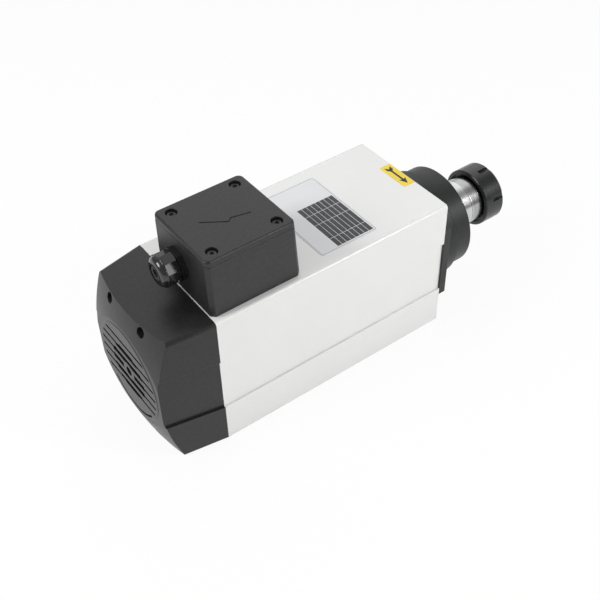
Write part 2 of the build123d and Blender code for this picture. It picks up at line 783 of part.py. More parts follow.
# Collet nut: recessed rear face, thread, extraction lip, face cone and spanner notches
lip_rear = collet_groove_rear + 0.4
lip_front = collet_rim_rear - 0.2
nut_rim_radius = collet_rim_radius + 0.06
cone_at_front = nut_rim_radius - (nut_front - collet_rim_front) * tan(radians(collet_face_angle))
with BuildPart() as collet_nut:
    nut_points = [
        (nut_rear + nut_rear_recess, thread_seat_radius + collet_gap),
        (nut_rear + nut_rear_recess, nut_rear_recess_radius),
        (nut_rear, nut_rear_recess_radius),
        (nut_rear, nut_radius - 0.8),
        (nut_rear + 0.8, nut_radius),
        (nut_front - nut_bevel, nut_radius),
        (nut_front, nut_radius - nut_bevel),
        (nut_front, cone_at_front),
        (collet_rim_front, nut_rim_radius),
        (lip_front, nut_rim_radius),
        (lip_front, collet_groove_radius + 0.9),
        (lip_rear, collet_groove_radius + 0.9),
        (lip_rear, collet_rim_radius + 0.6),
        (shaft_front + 0.4, collet_rim_radius + 0.6),
        (shaft_front + 0.4, thread_seat_radius + collet_gap),
    ]
    revolve(turned_section(nut_points), axis=shaft_axis)
    with BuildSketch(across(nut_front)):
        with PolarLocations(nut_radius, nut_notch_count, start_angle=nut_notch_start):
            Rectangle(2 * nut_notch_depth, nut_notch_width)
    extrude(amount=-nut_notch_length, mode=Mode.SUBTRACT)
write_piece(collet_nut.part, "collet_nut")

# Rear bearing shield: round plate with four lugs, spigot and bearing seat
rear_seat_radius = rear_outer_radius + fit_gap
with BuildPart() as rear_bearing_shield:
    with BuildSketch(across(rear_shield_rear)):
        Circle(shield_radius)
        for lean in (-45, 45):
            Rectangle(2 * sqrt(2) * shield_port_offset, 2 * shield_lug_radius, rotation=lean)
        with Locations(*shield_ports):
            Circle(shield_lug_radius)
    extrude(amount=shield_thickness)
    chamfer(rear_bearing_shield.faces().sort_by(Axis.X)[0].edges(), 0.8)
    with BuildSketch(across(rear_x)):
        Circle(housing_bore_radius - stator_gap)
    extrude(amount=shield_spigot)
    with BuildSketch(across(rear_seat_floor)):
        Circle(rear_seat_radius)
    extrude(amount=rear_x + shield_spigot - rear_seat_floor, mode=Mode.SUBTRACT)
    with BuildSketch(across(rear_shield_rear)):
        Circle(rear_outer_radius - shield_spring_lip)
        with Locations(*shield_ports):
            Circle(m5_clearance_radius)
    extrude(amount=shield_thickness, mode=Mode.SUBTRACT)
write_piece(rear_bearing_shield.part, "rear_bearing_shield")

with BuildPart() as shield_screws:
    for y, z in shield_ports:
        seat = toward_rear(rear_shield_rear, y, axis_height + z)
        add(socket_screw(seat, m5_radius, shield_screw_length, m5_head_radius, m5_head_height, m5_socket))
write_piece(shield_screws.part, "shield_screws")

# Disc springs that preload the rear bearing
spring_rear_outer = rear_outer_radius - 0.3
spring_inner = rear_outer_radius - 5.2
with BuildPart() as preload_springs:
    for spring_x, lean in ((rear_seat_floor + 0.02, 1), (rear_seat_floor + 0.08 + spring_stack, -1)):
        spring_points = [
            (spring_x, spring_inner),
            (spring_x + lean * spring_cone, spring_rear_outer),
            (spring_x + lean * (spring_cone + spring_thickness), spring_rear_outer),
            (spring_x + lean * spring_thickness, spring_inner),
        ]
        revolve(turned_section(spring_points), axis=shaft_axis)
write_piece(preload_springs.part, "preload_disc_springs")

# Circlip behind the rear bearing
with BuildPart() as circlip:
    with BuildSketch(across(circlip_rear)):
        Circle(rear_bore_radius + 2.6)
        Circle(rear_bore_radius - 0.9, mode=Mode.SUBTRACT)
        with Locations((0, -rear_bore_radius)):
            Rectangle(7.0, 9.0, mode=Mode.SUBTRACT)
        with Locations((4.6, -rear_bore_radius + 1.4), (-4.6, -rear_bore_radius + 1.4)):
            Circle(0.9, mode=Mode.SUBTRACT)
    extrude(amount=circlip_thickness - 0.05)
write_piece(circlip.part, "rear_circlip")

# Fan: hub, back plate and curved blades, with its key, washer and screw
def fan_blade():
    """One blade's outline, swept back from the hub to the rim."""
    middle_radius = (fan_hub_radius + fan_radius) / 2
    root = (fan_hub_radius - 1.5, 0)
    middle = (middle_radius * cos(radians(fan_blade_lag)), middle_radius * sin(radians(fan_blade_lag)))
    tip_lag = radians(1.3 * fan_blade_lag)
    tip = ((fan_radius - 1.5) * cos(tip_lag), (fan_radius - 1.5) * sin(tip_lag))
    with BuildLine() as line:
        ThreePointArc(root, middle, tip)
    with BuildSketch() as blade:
        SlotArc(line.edges()[0], fan_blade_thickness)
    return blade.sketch


with BuildPart() as fan:
    with BuildSketch(across(fan_rear)):
        Circle(fan_hub_radius)
    extrude(amount=fan_length)
    with BuildSketch(across(fan_front - fan_plate)):
        Circle(fan_radius)
    extrude(amount=fan_plate)
    with BuildSketch(across(fan_rear)):
        with PolarLocations(0, fan_blade_count):
            add(fan_blade())
    extrude(amount=fan_length - fan_plate / 2)
    with BuildSketch(across(fan_rear)):
        Circle(fan_seat_radius + fit_gap)
        with Locations((0, fan_seat_radius)):
            Rectangle(3.1, 3.2, mode=Mode.ADD)
    extrude(amount=fan_length, mode=Mode.SUBTRACT)
write_piece(fan.part, "fan_impeller")

with BuildPart() as fan_key:
    with BuildSketch(Plane.XY.offset(axis_height + fan_seat_radius - 1.45)):
        with Locations(((fan_rear + fan_front) / 2, 0)):
            SlotOverall(fan_length - 4.1, 2.9)
    extrude(amount=2.9)
write_piece(fan_key.part, "fan_key")

with BuildPart() as fan_washer:
    with BuildSketch(across(fan_rear - 2.2)):
        Circle(fan_seat_radius + 1.6)
        Circle(m5_clearance_radius, mode=Mode.SUBTRACT)
    extrude(amount=1.1)
write_piece(fan_washer.part, "fan_washer")

fan_screw_seat = toward_rear(fan_rear - 2.2, 0, axis_height)
fan_screw_sizes = (m5_radius, fan_screw_length, m5_head_radius, fan_screw_head, m5_socket)
write_piece(socket_screw(fan_screw_seat, *fan_screw_sizes), "fan_screw")


# Fan cover: a tapered shell with side steps and a domed rear face
def cover_form(inset):
    """The cover's outer form, or the same form inset by a wall."""
    rear = cover_rear + inset
    share = (rear_x - rear) / cover_length
    half_rear = body_width / 2 - share * cover_side_taper
    top_rear = body_height - share * cover_top_taper
    bottom_rear = share * cover_bottom_taper
    with BuildPart() as form:
        with BuildSketch(across(rear_x)):
            RectangleRounded(body_width - 2 * inset, body_height - 2 * inset, body_edge_round)
        with BuildSketch(across(rear)):
            height_rear = top_rear - bottom_rear - 2 * inset
            with Locations((0, (top_rear + bottom_rear) / 2 - axis_height)):
                RectangleRounded(2 * (half_rear - inset), height_rear, body_edge_round)
        loft()
        dome_x = rear_x - dome_apex + inset
        with BuildSketch(Plane(origin=(dome_x, 0, axis_height), x_dir=(1, 0, 0), z_dir=(0, -1, 0))):
            with BuildLine():
                drop = Line((dome_side_drop, -body_height / 2), (dome_crown_radius, -body_height / 2))
                rise = Line(drop @ 1, (dome_crown_radius, body_height / 2))
                back = Line(rise @ 1, (dome_side_drop, body_height / 2))
                ThreePointArc(back @ 1, (0, 0), drop @ 0)
            make_face()
        dome_axis = Axis((dome_x + dome_crown_radius, 0, 0), (0, 0, 1))
        revolve(axis=dome_axis, mode=Mode.INTERSECT)
        for side in (-1, 1):
            deep = body_width / 2 - side_recess_depth - inset
            deep_rear = half_rear - side_recess_depth - inset
            rise = share * cover_recess_rise
            with BuildSketch(across(rear_x)):
                with Locations((side * (deep + 10), side_recess_middle)):
                    Rectangle(20, side_recess_high - side_recess_low + 2 * inset)
            with BuildSketch(across(rear - 0.5)):
                with Locations((side * (deep_rear + 10), side_recess_middle + rise)):
                    Rectangle(20, side_recess_high - side_recess_low + 2 * inset)
            loft(mode=Mode.SUBTRACT)
    return form.part


def cover_inner_forms():
    """The tubes round the cover's screws and the walls behind the T slots, cut to the outer form."""
    wall_top = t_slot_lip + t_slot_head_height + slot_wall_edge
    with BuildPart() as forms:
        with BuildSketch(across(rear_x)):
            with Locations(*cover_ports):
                Circle(screw_tube_radius)
        extrude(amount=-dome_apex)
        with BuildSketch(across(rear_x)):
            for side in (-1, 1):
                with Locations((side * t_slot_offset, wall_top / 2 - axis_height)):
                    Rectangle(t_slot_head_width + 2 * slot_wall_edge, wall_top)
        extrude(amount=-cover_wall)
        add(cover_form(0), mode=Mode.INTERSECT)
    return forms.part


with BuildLine() as arc_path:
    CenterArc((0, 0), grille_arc_radius, 270 - grille_arc_sweep / 2, grille_arc_sweep)
lower_arc = arc_path.edges()[0]

with BuildPart() as fan_cover:
    add(cover_form(0))
    pad_points = [
        (cover_rear + 1.0, 0),
        (cover_rear - grille_pad_rise, 0),
        (cover_rear - grille_pad_rise, grille_pad_radius - grille_pad_edge),
        (cover_rear, grille_pad_radius),
        (cover_rear + 1.0, grille_pad_radius),
    ]
    revolve(turned_section(pad_points), axis=shaft_axis)
    add(cover_form(cover_wall), mode=Mode.SUBTRACT)
    add(cover_inner_forms())
    with BuildSketch(across(rear_x - screw_tube_floor)):
        with Locations(*cover_ports):
            Circle(screw_tube_hole)
    extrude(amount=-dome_apex, mode=Mode.SUBTRACT)
    with BuildSketch(across(rear_x)):
        with Locations(*cover_ports):
            Circle(m4_clearance_radius)
    extrude(amount=-dome_apex, mode=Mode.SUBTRACT)
    with BuildSketch(across(cover_rear - 1.0)):
        for row in range(grille_bottom_row, grille_top_row + 1):
            with Locations((0, row * grille_pitch)):
                Rectangle(2 * grille_radius, grille_slot)
        Circle(grille_radius, mode=Mode.INTERSECT)
        SlotArc(lower_arc, grille_arc_width)
        Circle(grille_hub_radius, mode=Mode.SUBTRACT)
        Circle(grille_hub_hole)
    extrude(amount=cover_wall + 2.0, mode=Mode.SUBTRACT)
    with BuildSketch(across(cover_rear - 1.0)):
        for row in range(grille_bottom_row, -grille_bottom_row + 1):
            with Locations((0, row * grille_pitch)):
                Rectangle(2 * grille_radius, grille_wide_slot)
        Circle(grille_wide_radius, mode=Mode.INTERSECT)
        Circle(grille_hub_radius, mode=Mode.SUBTRACT)
    extrude(amount=cover_wall + 2.0, mode=Mode.SUBTRACT)
write_piece(fan_cover.part, "rear_fan_cover")

with BuildPart() as cover_screws:
    for y, z in cover_ports:
        seat = toward_rear(rear_x - screw_tube_floor, y, axis_height + z)
        add(socket_screw(seat, m4_radius, cover_screw_length, m4_head_radius, m4_head_height, m4_socket))
write_piece(cover_screws.part, "cover_screws")


# Terminal box: a drafted tub with corner bosses, gaskets above and below and a flat lid
def box_level(z, inset, rounded):
    """The drafted box outline at height z, inset by a wall, with cut or rounded corners."""
    share = (z - box_foot_z) / (lid_seam_z + lid_thickness - box_foot_z)
    front = rear_x + box_front_foot + share * (box_front_top - box_front_foot) - inset
    rear = box_rear_x + inset
    near = box_near_foot + share * (box_near_top - box_near_foot) + inset
    far = box_far_foot + share * (box_far_top - box_far_foot) - inset
    with BuildSketch(Plane.XY.offset(z)) as level:
        with Locations(((front + rear) / 2, (near + far) / 2)):
            Rectangle(front - rear, far - near)
        if rounded:
            fillet(level.vertices(), lid_corner_round)
        else:
            chamfer(level.vertices(), box_corner_cut - inset * (2 - sqrt(2)))
    return level.sketch


def box_form(low, high, inset, rounded=False):
    """The drafted box form between two heights."""
    with BuildPart() as form:
        loft([box_level(low, inset, rounded), box_level(high, inset, rounded)])
    return form.part


def rim_ring(low, high, outer_inset, inner_inset):
    """A closed ring that follows the box rim between two insets."""
    with BuildPart() as ring:
        add(box_form(low, high, outer_inset))
        add(box_form(low, high, inner_inset), mode=Mode.SUBTRACT)
    return ring.part


with BuildPart() as box_cavity:
    add(box_form(box_foot_z + box_floor, lid_seam_z + 1.0, box_wall))
    with BuildSketch(Plane.XY.offset(lid_seam_z + 1.0)):
        for sx in (-1, 1):
            for sy in (-1, 1):
                corner_x = box_middle_x + sx * lid_screw_pitch_x / 2
                corner_y = box_middle_y + sy * lid_screw_pitch_y / 2
                with Locations((corner_x, corner_y)):
                    Circle(lid_boss_radius)
                with Locations((corner_x + sx * 6.0, corner_y), (corner_x, corner_y + sy * 6.0)):
                    Rectangle(12.0, 12.0 - 2 * (6.0 - lid_boss_radius))
                with Locations((corner_x + sx * 5.0, corner_y + sy * 5.0)):
                    Rectangle(10.0, 10.0)
    extrude(amount=-lid_boss_depth - 4.0, mode=Mode.SUBTRACT)

groove_floor = lid_seam_z - lid_gasket_depth
groove_outer = (box_wall - lid_gasket_width) / 2
groove_inner = (box_wall + lid_gasket_width) / 2
with BuildPart() as box_base:
    add(box_form(box_foot_z, lid_seam_z, 0))
    add(box_cavity.part, mode=Mode.SUBTRACT)
    with BuildSketch(Plane.XY.offset(lid_seam_z)):
        with Locations(*lid_screw_places):
            Circle(m4_radius + thread_gap)
    extrude(amount=-lid_boss_depth, mode=Mode.SUBTRACT)
    add(rim_ring(groove_floor, lid_seam_z, groove_outer, groove_inner), mode=Mode.SUBTRACT)
    with BuildSketch(Plane.XY.offset(box_foot_z)):
        with Locations((cable_hole_x, box_middle_y)):
            Circle(cable_hole_radius)
        with Locations(*base_screw_places):
            Circle(m4_clearance_radius)
    extrude(amount=box_floor, mode=Mode.SUBTRACT)
    with BuildSketch(toward_rear(box_rear_x, gland_y, gland_z)):
        Circle(gland_thread_radius + 0.1)
    extrude(amount=-box_wall, mode=Mode.SUBTRACT)
write_piece(box_base.part, "terminal_box_base")

# Box lid with counterbored corner screws and a shallow moulded line
lid_top = lid_seam_z + lid_thickness
lid_floor = lid_seam_z + lid_gap
with BuildPart() as box_lid:
    add(box_form(lid_floor, lid_top, 0, rounded=True))
    fillet(box_lid.faces().sort_by(Axis.Z)[-1].edges(), lid_edge_round)
    with BuildSketch(Plane.XY.offset(lid_top)):
        with Locations(*lid_screw_places):
            Circle(lid_counterbore_radius)
    extrude(amount=-lid_counterbore_depth, mode=Mode.SUBTRACT)
    with BuildSketch(Plane.XY.offset(lid_top)):
        with Locations(*lid_screw_places):
            Circle(m4_clearance_radius)
    extrude(amount=-lid_thickness, mode=Mode.SUBTRACT)
    with BuildSketch(Plane.XY.offset(lid_top)):
        with BuildLine():
            groove_line = Polyline(*[(rear_x + x, y) for x, y in lid_groove_points])
            offset(groove_line, lid_groove_width / 2, side=Side.BOTH)
        make_face()
    extrude(amount=-lid_groove_depth, mode=Mode.SUBTRACT)
write_piece(box_lid.part, "terminal_box_lid")

with BuildPart() as lid_gasket:
    add(rim_ring(groove_floor, lid_floor, groove_outer + 0.05, groove_inner - 0.05))
write_piece(lid_gasket.part, "lid_gasket")

with BuildPart() as lid_screws:
    for x, y in lid_screw_places:
        seat = Plane(origin=(x, y, lid_top - lid_counterbore_depth))
        add(socket_screw(seat, m4_radius, lid_screw_length, m4_head_radius, lid_screw_head, m4_socket))
write_piece(lid_screws.part, "lid_screws")

with BuildPart() as base_gasket:
    add(box_form(body_height, box_foot_z, base_gasket_inset))
    with BuildSketch(Plane.XY.offset(body_height)):
        with Locations((cable_hole_x, box_middle_y)):
            Circle(cable_hole_radius)
        with Locations(*base_screw_places):
            Circle(m4_clearance_radius)
    extrude(amount=box_lift, mode=Mode.SUBTRACT)
write_piece(base_gasket.part, "base_gasket")

with BuildPart() as base_screws:
    for x, y in base_screw_places:
        seat = Plane(origin=(x, y, box_foot_z + box_floor))
        add(socket_screw(seat, m4_radius, base_screw_length, m4_head_radius, m4_head_height, m4_socket))
write_piece(base_screws.part, "base_screws")

# Terminal block with six studs, their nuts, the three leads and the earth screw
block_floor = box_foot_z + box_floor
block_top = block_floor + block_height
stud_places = [
    (block_x + column * stud_pitch_x, box_middle_y + side * stud_pitch_y / 2)
    for column in (-1, 0, 1)
    for side in (-1, 1)
]
with BuildPart() as terminal_block:
    with BuildSketch(Plane.XY.offset(block_floor)):
        with Locations((block_x, box_middle_y)):
            RectangleRounded(block_length, block_width, 1.5)
    extrude(amount=block_height)
    with BuildSketch(Plane.XY.offset(block_top)):
        for column in (-1.5, -0.5, 0.5, 1.5):
            with Locations((block_x + column * stud_pitch_x, box_middle_y)):
                Rectangle(block_rib, block_width)
    extrude(amount=block_rib_height)
    with BuildSketch(Plane.XY.offset(block_top)):
        with Locations(*stud_places):
            Circle(m4_radius + fit_gap)
    extrude(amount=-block_height + 2.0, mode=Mode.SUBTRACT)
write_piece(terminal_block.part, "terminal_block")

with BuildPart() as terminal_studs:
    with BuildSketch(Plane.XY.offset(block_floor + 2.0)):
        with Locations(*stud_places):
            Circle(m4_radius)
    extrude(amount=block_height - 2.0 + stud_height)
write_piece(terminal_studs.part, "terminal_studs")

with BuildPart() as terminal_nuts:
    with BuildSketch(Plane.XY.offset(block_top + terminal_nut_lift)):
        with Locations(*stud_places):
            RegularPolygon(terminal_nut_hexagon / 2, 6, major_radius=False)
            Circle(m4_radius + fit_gap, mode=Mode.SUBTRACT)
    extrude(amount=terminal_nut_height)
write_piece(terminal_nuts.part, "terminal_nuts")

lead_start_x = stator_rear_x - winding_overhang - 0.05
lead_low = axis_height + (winding_inner_radius + winding_outer_radius) / 2 - 1.5
lead_high = block_top + terminal_nut_lift - lead_radius - 0.1
with BuildPart() as motor_leads:
    for step in (-1, 0, 1):
        lead_y = box_middle_y + step * lead_pitch
        with BuildLine():
            FilletPolyline(
                (lead_start_x, lead_y, lead_low),
                (cable_hole_x, lead_y, lead_low),
                (cable_hole_x, lead_y, lead_high),
                (block_x - 1.5 * stud_pitch_x - block_rib, lead_y, lead_high),
                radius=lead_bend,
            )
        with BuildSketch(Plane(origin=(lead_start_x, lead_y, lead_low), z_dir=(-1, 0, 0))):
            Circle(lead_radius)
        sweep()
write_piece(motor_leads.part, "motor_leads")

earth_x = box_middle_x
earth_y = box_near_top + 10.0
earth_seat = Plane(origin=(earth_x, earth_y, block_floor))
with BuildPart() as earth_screw:
    add(socket_screw(earth_seat.offset(2.0), m4_radius, 2.0, m4_head_radius, m4_head_height, m4_socket))
    with BuildSketch(earth_seat):
        Circle(m4_head_radius + 1.0)
    extrude(amount=1.9)
write_piece(earth_screw.part, "earth_screw")


# Cable gland: threaded body with a hexagon, lock nut, rubber seal and a domed cap nut with flat grips
def out_of_box(distance):
    """The gland's cross plane at a distance out from the box's rear face."""
    return toward_rear(box_rear_x - distance, gland_y, gland_z)


def gland_section(points):
    """The half section of a turned gland piece: pairs of distance out of the box and radius."""
    return turned_section([(box_rear_x - distance, radius) for distance, radius in points], gland_plane)


lock_nut_width_gland = 3.6
gland_rear_end = gland_hexagon_length + gland_neck_length
with BuildPart() as gland_body:
    with BuildSketch(out_of_box(0)):
        RegularPolygon(gland_hexagon / 2, 6, major_radius=False)
    extrude(amount=gland_hexagon_length)
    body_points = [
        (-box_wall - lock_nut_width_gland - 1.6, 0),
        (-box_wall - lock_nut_width_gland - 1.6, gland_thread_radius),
        (gland_hexagon_length - 1.0, gland_thread_radius),
        (gland_hexagon_length - 1.0, gland_neck_radius),
        (gland_rear_end - 0.6, gland_neck_radius),
        (gland_rear_end, gland_neck_radius - 0.6),
        (gland_rear_end, 0),
    ]
    revolve(gland_section(body_points), axis=gland_axis)
    with BuildSketch(out_of_box(gland_rear_end)):
        Circle(gland_bore_radius)
    extrude(amount=-gland_rear_end - box_wall - lock_nut_width_gland - 1.6, mode=Mode.SUBTRACT)
write_piece(gland_body.part, "gland_body")

with BuildPart() as gland_lock_nut:
    with BuildSketch(out_of_box(-box_wall)):
        RegularPolygon(gland_hexagon / 2, 6, major_radius=False)
        Circle(gland_thread_radius + thread_gap, mode=Mode.SUBTRACT)
    extrude(amount=-lock_nut_width_gland)
write_piece(gland_lock_nut.part, "gland_lock_nut")

cap_start = gland_hexagon_length + gland_cap_gap
cap_end = cap_start + gland_cap_length
cap_dome_start = cap_end - gland_dome
cap_rim_start = cap_dome_start - gland_cap_rim
with BuildPart() as gland_cap_nut:
    with BuildSketch(out_of_box(cap_start)):
        RegularPolygon(gland_cap_radius - gland_cap_step, gland_cap_sides, rotation=180 / gland_cap_sides)
    extrude(amount=cap_rim_start - cap_start)
    cap_turning = [
        (cap_start, 0),
        (cap_start, gland_cap_radius - 1.0),
        (cap_start + 0.8, gland_cap_radius),
        (cap_rim_start, gland_cap_radius),
        (cap_rim_start, 0),
    ]
    revolve(gland_section(cap_turning), axis=gland_axis, mode=Mode.INTERSECT)
    cap_rim = [
        (cap_rim_start, 0),
        (cap_rim_start, gland_cap_radius - gland_cap_step),
        (cap_rim_start + gland_cap_step, gland_cap_radius),
        (cap_dome_start - gland_cap_step, gland_cap_radius),
        (cap_dome_start, gland_cap_radius - gland_cap_step),
        (cap_dome_start, 0),
    ]
    revolve(gland_section(cap_rim), axis=gland_axis)
    with BuildSketch(gland_plane):
        with BuildLine():
            dome_foot = (box_rear_x - cap_dome_start, gland_dome_radius)
            dome_end = (box_rear_x - cap_end, gland_cap_mouth + 0.6)
            dome_rise = gland_dome_radius - gland_cap_mouth - 0.6
            dome_middle = (
                dome_foot[0] - gland_dome * sin(pi / 4),
                dome_end[1] + dome_rise * cos(pi / 4),
            )
            ThreePointArc(dome_foot, dome_middle, dome_end)
            Polyline(dome_end, (dome_end[0], 0), (dome_foot[0], 0), dome_foot)
        make_face()
    revolve(axis=gland_axis)
    cap_bore = [
        (cap_start, 0),
        (cap_start, gland_neck_radius + thread_gap),
        (gland_rear_end + 0.6, gland_neck_radius + thread_gap),
        (cap_end - 1.0, gland_cap_mouth),
        (cap_end, gland_cap_mouth),
        (cap_end, 0),
    ]
    revolve(gland_section(cap_bore), axis=gland_axis, mode=Mode.SUBTRACT)
write_piece(gland_cap_nut.part, "gland_cap_nut")

with BuildPart() as gland_seal:
    seal_points = [
        (gland_rear_end - 7.0, gland_seal_bore),
        (gland_rear_end - 7.0, gland_bore_radius - thread_gap),
        (gland_rear_end + 0.1, gland_bore_radius - thread_gap),
        (gland_rear_end + 1.6, gland_cap_mouth - 0.4),
        (cap_end - 0.5, gland_cap_mouth - 0.6),
        (cap_end - 0.5, gland_seal_bore),
    ]
    revolve(gland_section(seal_points), axis=gland_axis)
write_piece(gland_seal.part, "gland_seal")

# Nameplate and direction sticker on the housing's top face
with BuildPart() as nameplate:
    with BuildSketch(Plane.XY.offset(body_height)):
        with Locations((rear_x + (label_front + label_rear) / 2, (label_near + label_far) / 2)):
            RectangleRounded(label_front - label_rear, label_far - label_near, 3.0)
    extrude(amount=label_thickness)
write_piece(nameplate.part, "nameplate_label")

with BuildPart() as arrow_sticker:
    with BuildSketch(Plane.XY.offset(body_height)):
        with Locations((rear_x + (arrow_front + arrow_rear) / 2, (arrow_near + arrow_far) / 2)):
            RectangleRounded(arrow_front - arrow_rear, arrow_far - arrow_near, 1.0)
    extrude(amount=label_thickness)
write_piece(arrow_sticker.part, "rotation_sticker")
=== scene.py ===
import json
import bpy
import bmesh
from mathutils import Matrix, Vector


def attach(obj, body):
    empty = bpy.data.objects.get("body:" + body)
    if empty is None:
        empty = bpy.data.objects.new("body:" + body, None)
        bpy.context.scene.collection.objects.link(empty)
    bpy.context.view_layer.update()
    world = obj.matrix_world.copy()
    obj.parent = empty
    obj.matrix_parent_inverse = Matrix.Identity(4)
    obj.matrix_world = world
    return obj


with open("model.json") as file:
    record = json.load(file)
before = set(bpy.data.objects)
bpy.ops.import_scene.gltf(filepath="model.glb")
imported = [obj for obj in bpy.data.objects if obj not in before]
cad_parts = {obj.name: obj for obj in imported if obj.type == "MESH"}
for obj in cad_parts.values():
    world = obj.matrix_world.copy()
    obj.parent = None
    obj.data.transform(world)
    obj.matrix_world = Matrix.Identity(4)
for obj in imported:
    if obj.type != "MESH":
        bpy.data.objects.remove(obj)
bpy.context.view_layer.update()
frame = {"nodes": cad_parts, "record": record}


def bounds_of(name):
    """A node's lowest and highest corner in metres."""
    obj = frame["nodes"][name]
    corners = [obj.matrix_world @ Vector(corner) for corner in obj.bound_box]
    low = Vector(min(corner[axis] for corner in corners) for axis in range(3))
    high = Vector(max(corner[axis] for corner in corners) for axis in range(3))
    return low, high


SHAFT_FRONT = bounds_of("shaft")[1].x
LABEL_LOW, LABEL_HIGH = bounds_of("nameplate_label")
STICKER_LOW, STICKER_HIGH = bounds_of("rotation_sticker")


# Node helpers
EDGE_SAMPLES = 4


def new_material(name):
    material = bpy.data.materials.new(name)
    material.use_nodes = True
    tree = material.node_tree
    tree.nodes.clear()
    out = tree.nodes.new("ShaderNodeOutputMaterial")
    bsdf = tree.nodes.new("ShaderNodeBsdfPrincipled")
    tree.links.new(bsdf.outputs["BSDF"], out.inputs["Surface"])
    return material, tree, bsdf


def place(tree, scale=(1, 1, 1)):
    """Coordinates fixed to the piece, stretched by scale."""
    coordinates = tree.nodes.new("ShaderNodeTexCoord")
    mapping = tree.nodes.new("ShaderNodeMapping")
    mapping.inputs["Scale"].default_value = scale
    tree.links.new(coordinates.outputs["Object"], mapping.inputs["Vector"])
    return mapping.outputs["Vector"]


def noise(tree, vector, scale, detail, roughness=0.55):
    made = tree.nodes.new("ShaderNodeTexNoise")
    made.inputs["Scale"].default_value = scale
    made.inputs["Detail"].default_value = detail
    made.inputs["Roughness"].default_value = roughness
    tree.links.new(vector, made.inputs["Vector"])
    return made.outputs["Fac"]


def ramp(tree, value, stops):
    """A colour ramp; stops are (place, grey or colour)."""
    made = tree.nodes.new("ShaderNodeValToRGB")
    elements = made.color_ramp.elements
    while len(elements) < len(stops):
        elements.new(0.5)
    for element, (where, colour) in zip(elements, stops):
        element.position = where
        if not isinstance(colour, tuple):
            colour = (colour, colour, colour)
        element.color = (*colour, 1)
    tree.links.new(value, made.inputs["Fac"])
    return made.outputs["Color"]


def spread(tree, value, low, high):
    """Maps 0..1 to low..high."""
    made = tree.nodes.new("ShaderNodeMapRange")
    made.inputs["To Min"].default_value = low
    made.inputs["To Max"].default_value = high
    tree.links.new(value, made.inputs["Value"])
    return made.outputs["Result"]


def add_bump(tree, bsdf, height, strength, distance, before):
    """Bump from a height, on top of the normal that comes before it, if there is one."""
    made = tree.nodes.new("ShaderNodeBump")
    made.inputs["Strength"].default_value = strength
    made.inputs["Distance"].default_value = distance
    tree.links.new(height, made.inputs["Height"])
    if before is not None:
        tree.links.new(before, made.inputs["Normal"])
    tree.links.new(made.outputs["Normal"], bsdf.inputs["Normal"])


def soft_edge(tree, radius):
    """The normal of an edge eased by radius."""
    made = tree.nodes.new("ShaderNodeBevel")
    made.samples = EDGE_SAMPLES
    made.inputs["Radius"].default_value = radius
    return made.outputs["Normal"]


# Depths of the bumps in metres, strengths where a finish has one, and the ground steel's anisotropy
GRAIN_DEPTH = 0.0001
TURNED_DEPTH = 0.00004
TURNED_BUMP = 0.25
GROUND_DEPTH = 0.00002
GROUND_BUMP = 0.12
GROUND_ANISOTROPY = 0.5
COAT_ROUGHNESS = 0.15


def coated(
    name,
    low,
    high,
    patch,
    grain,
    rough,
    bump,
    edge=0.0,
    metallic=0.0,
    stretch=(1, 1, 1),
    coat=0.0,
    gloss=0.5,
):
    """A finish with patches of tone, fine grain in its gloss and surface, and eased edges."""
    material, tree, bsdf = new_material(name)
    vector = place(tree, stretch)
    tone = noise(tree, vector, patch, 4.0)
    tree.links.new(ramp(tree, tone, [(0.3, low), (0.7, high)]), bsdf.inputs["Base Color"])
    fine = noise(tree, vector, grain, 2.0, 0.6)
    tree.links.new(spread(tree, fine, rough - 0.06, rough + 0.08), bsdf.inputs["Roughness"])
    bsdf.inputs["Metallic"].default_value = metallic
    bsdf.inputs["Specular IOR Level"].default_value = gloss
    if coat:
        bsdf.inputs["Coat Weight"].default_value = coat
        bsdf.inputs["Coat Roughness"].default_value = COAT_ROUGHNESS
    add_bump(tree, bsdf, fine, bump, GRAIN_DEPTH, soft_edge(tree, edge) if edge else None)
    return material


def turned(name, low, high, rough, ring, edge=0.0, metallic=1.0, gloss=0.5):
    """A lathe's finish: fine rings across the shaft's axis."""
    material, tree, bsdf = new_material(name)
    rings = noise(tree, place(tree, (ring, 6, 6)), 1.0, 5.0, 0.7)
    tone = noise(tree, place(tree), 60.0, 4.0)
    tree.links.new(ramp(tree, tone, [(0.3, low), (0.7, high)]), bsdf.inputs["Base Color"])
    tree.links.new(spread(tree, rings, rough - 0.08, rough + 0.12), bsdf.inputs["Roughness"])
    bsdf.inputs["Metallic"].default_value = metallic
    bsdf.inputs["Specular IOR Level"].default_value = gloss
    add_bump(tree, bsdf, rings, TURNED_BUMP, TURNED_DEPTH, soft_edge(tree, edge) if edge else None)
    return material


def painted_reflection_belts(tree, colour, start, end, stops):
    """The colour times a row of painted reflection and shade tones along the shaft, from start to end in
    metres.
    """
    along = tree.nodes.new("ShaderNodeSeparateXYZ")
    tree.links.new(place(tree), along.inputs["Vector"])
    share = tree.nodes.new("ShaderNodeMapRange")
    share.inputs["From Min"].default_value = start
    share.inputs["From Max"].default_value = end
    tree.links.new(along.outputs["X"], share.inputs["Value"])
    painted_reflection_tint = tree.nodes.new("ShaderNodeMix")
    painted_reflection_tint.data_type = "RGBA"
    painted_reflection_tint.blend_type = "MULTIPLY"
    painted_reflection_tint.inputs["Factor"].default_value = 1.0
    tree.links.new(colour, painted_reflection_tint.inputs["A"])
    tree.links.new(ramp(tree, share.outputs["Result"], stops), painted_reflection_tint.inputs["B"])
    return painted_reflection_tint.outputs["Result"]


